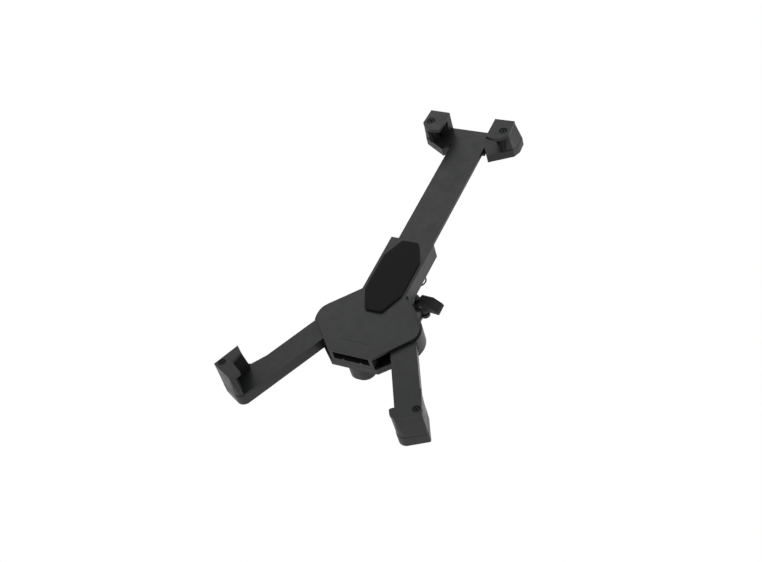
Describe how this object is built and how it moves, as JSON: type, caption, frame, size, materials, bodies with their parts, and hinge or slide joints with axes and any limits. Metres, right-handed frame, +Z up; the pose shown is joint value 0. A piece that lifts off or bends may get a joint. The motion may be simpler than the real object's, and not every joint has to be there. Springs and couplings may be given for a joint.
{
  "type": "tablet stand holder",
  "caption": "Tablet holder for a stand pole: hub with telescoping T bar, swinging hooked arms, swivel, tilt joint and cam-locked pole clamp.",
  "frame": {"origin": "centre of the pole clamp's bore", "axes": "+Z up along the pole and the sliding bar, +X to the reader's right, the tablet lies on the -Y side"},
  "size_m": [0.1688, 0.0806, 0.3067],
  "materials": {
    "moulded_plastic": "satin black moulded ABS, fine spark texture",
    "rubber": "matt black moulded rubber",
    "zinc_steel": "bright zinc plated steel",
    "black_steel": "black oxide steel",
    "nylon": "natural nylon"
  },
  "bodies": {
    "clamp": {"clamp_collar": "moulded_plastic", "collar_liner": "rubber", "tilt_nut": "zinc_steel", "cam_pin": "zinc_steel", "draw_bolt": "zinc_steel", "cam_washer": "zinc_steel", "draw_nut": "zinc_steel"},
    "lever": {"cam_lever": "moulded_plastic"},
    "knob": {"tilt_knob": "moulded_plastic", "tilt_bolt": "zinc_steel"},
    "tilt_head": {"tilt_arm": "moulded_plastic", "friction_disc": "nylon", "swivel_bolt": "zinc_steel", "swivel_washer": "zinc_steel", "swivel_nut": "zinc_steel"},
    "hub": {"front_shell": "moulded_plastic", "rear_shell": "moulded_plastic", "front_pad": "rubber", "shell_screws": "zinc_steel", "pivot_washers": "zinc_steel", "pivot_screws": "zinc_steel", "brake_spring": "zinc_steel"},
    "slider": {"slider_bar": "moulded_plastic", "bar_stop": "zinc_steel", "upper_left_hook": "moulded_plastic", "upper_right_hook": "moulded_plastic", "upper_left_liner": "rubber", "upper_right_liner": "rubber", "upper_hook_screws": "black_steel"},
    "left_arm": {"left_arm": "moulded_plastic", "left_arm_bush": "nylon", "lower_left_hook": "moulded_plastic", "lower_left_liner": "rubber", "lower_left_hook_screw": "black_steel"},
    "right_arm": {"right_arm": "moulded_plastic", "right_arm_bush": "nylon", "lower_right_hook": "moulded_plastic", "lower_right_liner": "rubber", "lower_right_hook_screw": "black_steel"},
    "bail": {"release_bail": "black_steel"},
    "brake": {"brake_shoe": "rubber", "brake_plunger": "zinc_steel"}
  },
  "joints": [
    {"name": "tilt_back", "type": "hinge", "parent": "clamp", "child": "tilt_head", "pos_m": [0, -0.0205, 0], "axis": [-1, 0, 0], "range_deg": [0, 25]},
    {"name": "tilt_knob_turn", "type": "hinge", "parent": "clamp", "child": "knob", "pos_m": [-0.014, -0.0205, 0], "axis": [-1, 0, 0], "continuous": true},
    {"name": "cam_lever_open", "type": "hinge", "parent": "clamp", "child": "lever", "pos_m": [0.0148, -0.0107, 0.0044], "axis": [0, 0, -1], "range_deg": [0, 55]},
    {"name": "swivel_turn", "type": "hinge", "parent": "tilt_head", "child": "hub", "pos_m": [0, -0.028, -0.048], "axis": [0, 1, 0], "range_deg": [-90, 90]},
    {"name": "bar_slide", "type": "slide", "parent": "hub", "child": "slider", "axis": [0, 0, 1], "range_m": [-0.105, 0]},
    {"name": "left_arm_swing", "type": "hinge", "parent": "hub", "child": "left_arm", "pos_m": [-0.03, -0.039, -0.053], "axis": [0, 1, 0], "range_deg": [-27, 0]},
    {"name": "right_arm_swing", "type": "hinge", "parent": "hub", "child": "right_arm", "pos_m": [0.03, -0.039, -0.053], "axis": [0, -1, 0], "range_deg": [-27, 0]},
    {"name": "bail_pull", "type": "hinge", "parent": "hub", "child": "bail", "pos_m": [0, -0.0284, 0.0064], "axis": [-1, 0, 0], "range_deg": [0, 12]},
    {"name": "brake_lift", "type": "slide", "parent": "hub", "child": "brake", "axis": [0, 1, 0], "range_m": [0, 0.00115], "deforming": ["brake_spring"]}
  ],
  "couplings": [
    {"joint": "bail_pull", "follows": "brake_lift", "rad_per_m": 181.82}
  ]
}
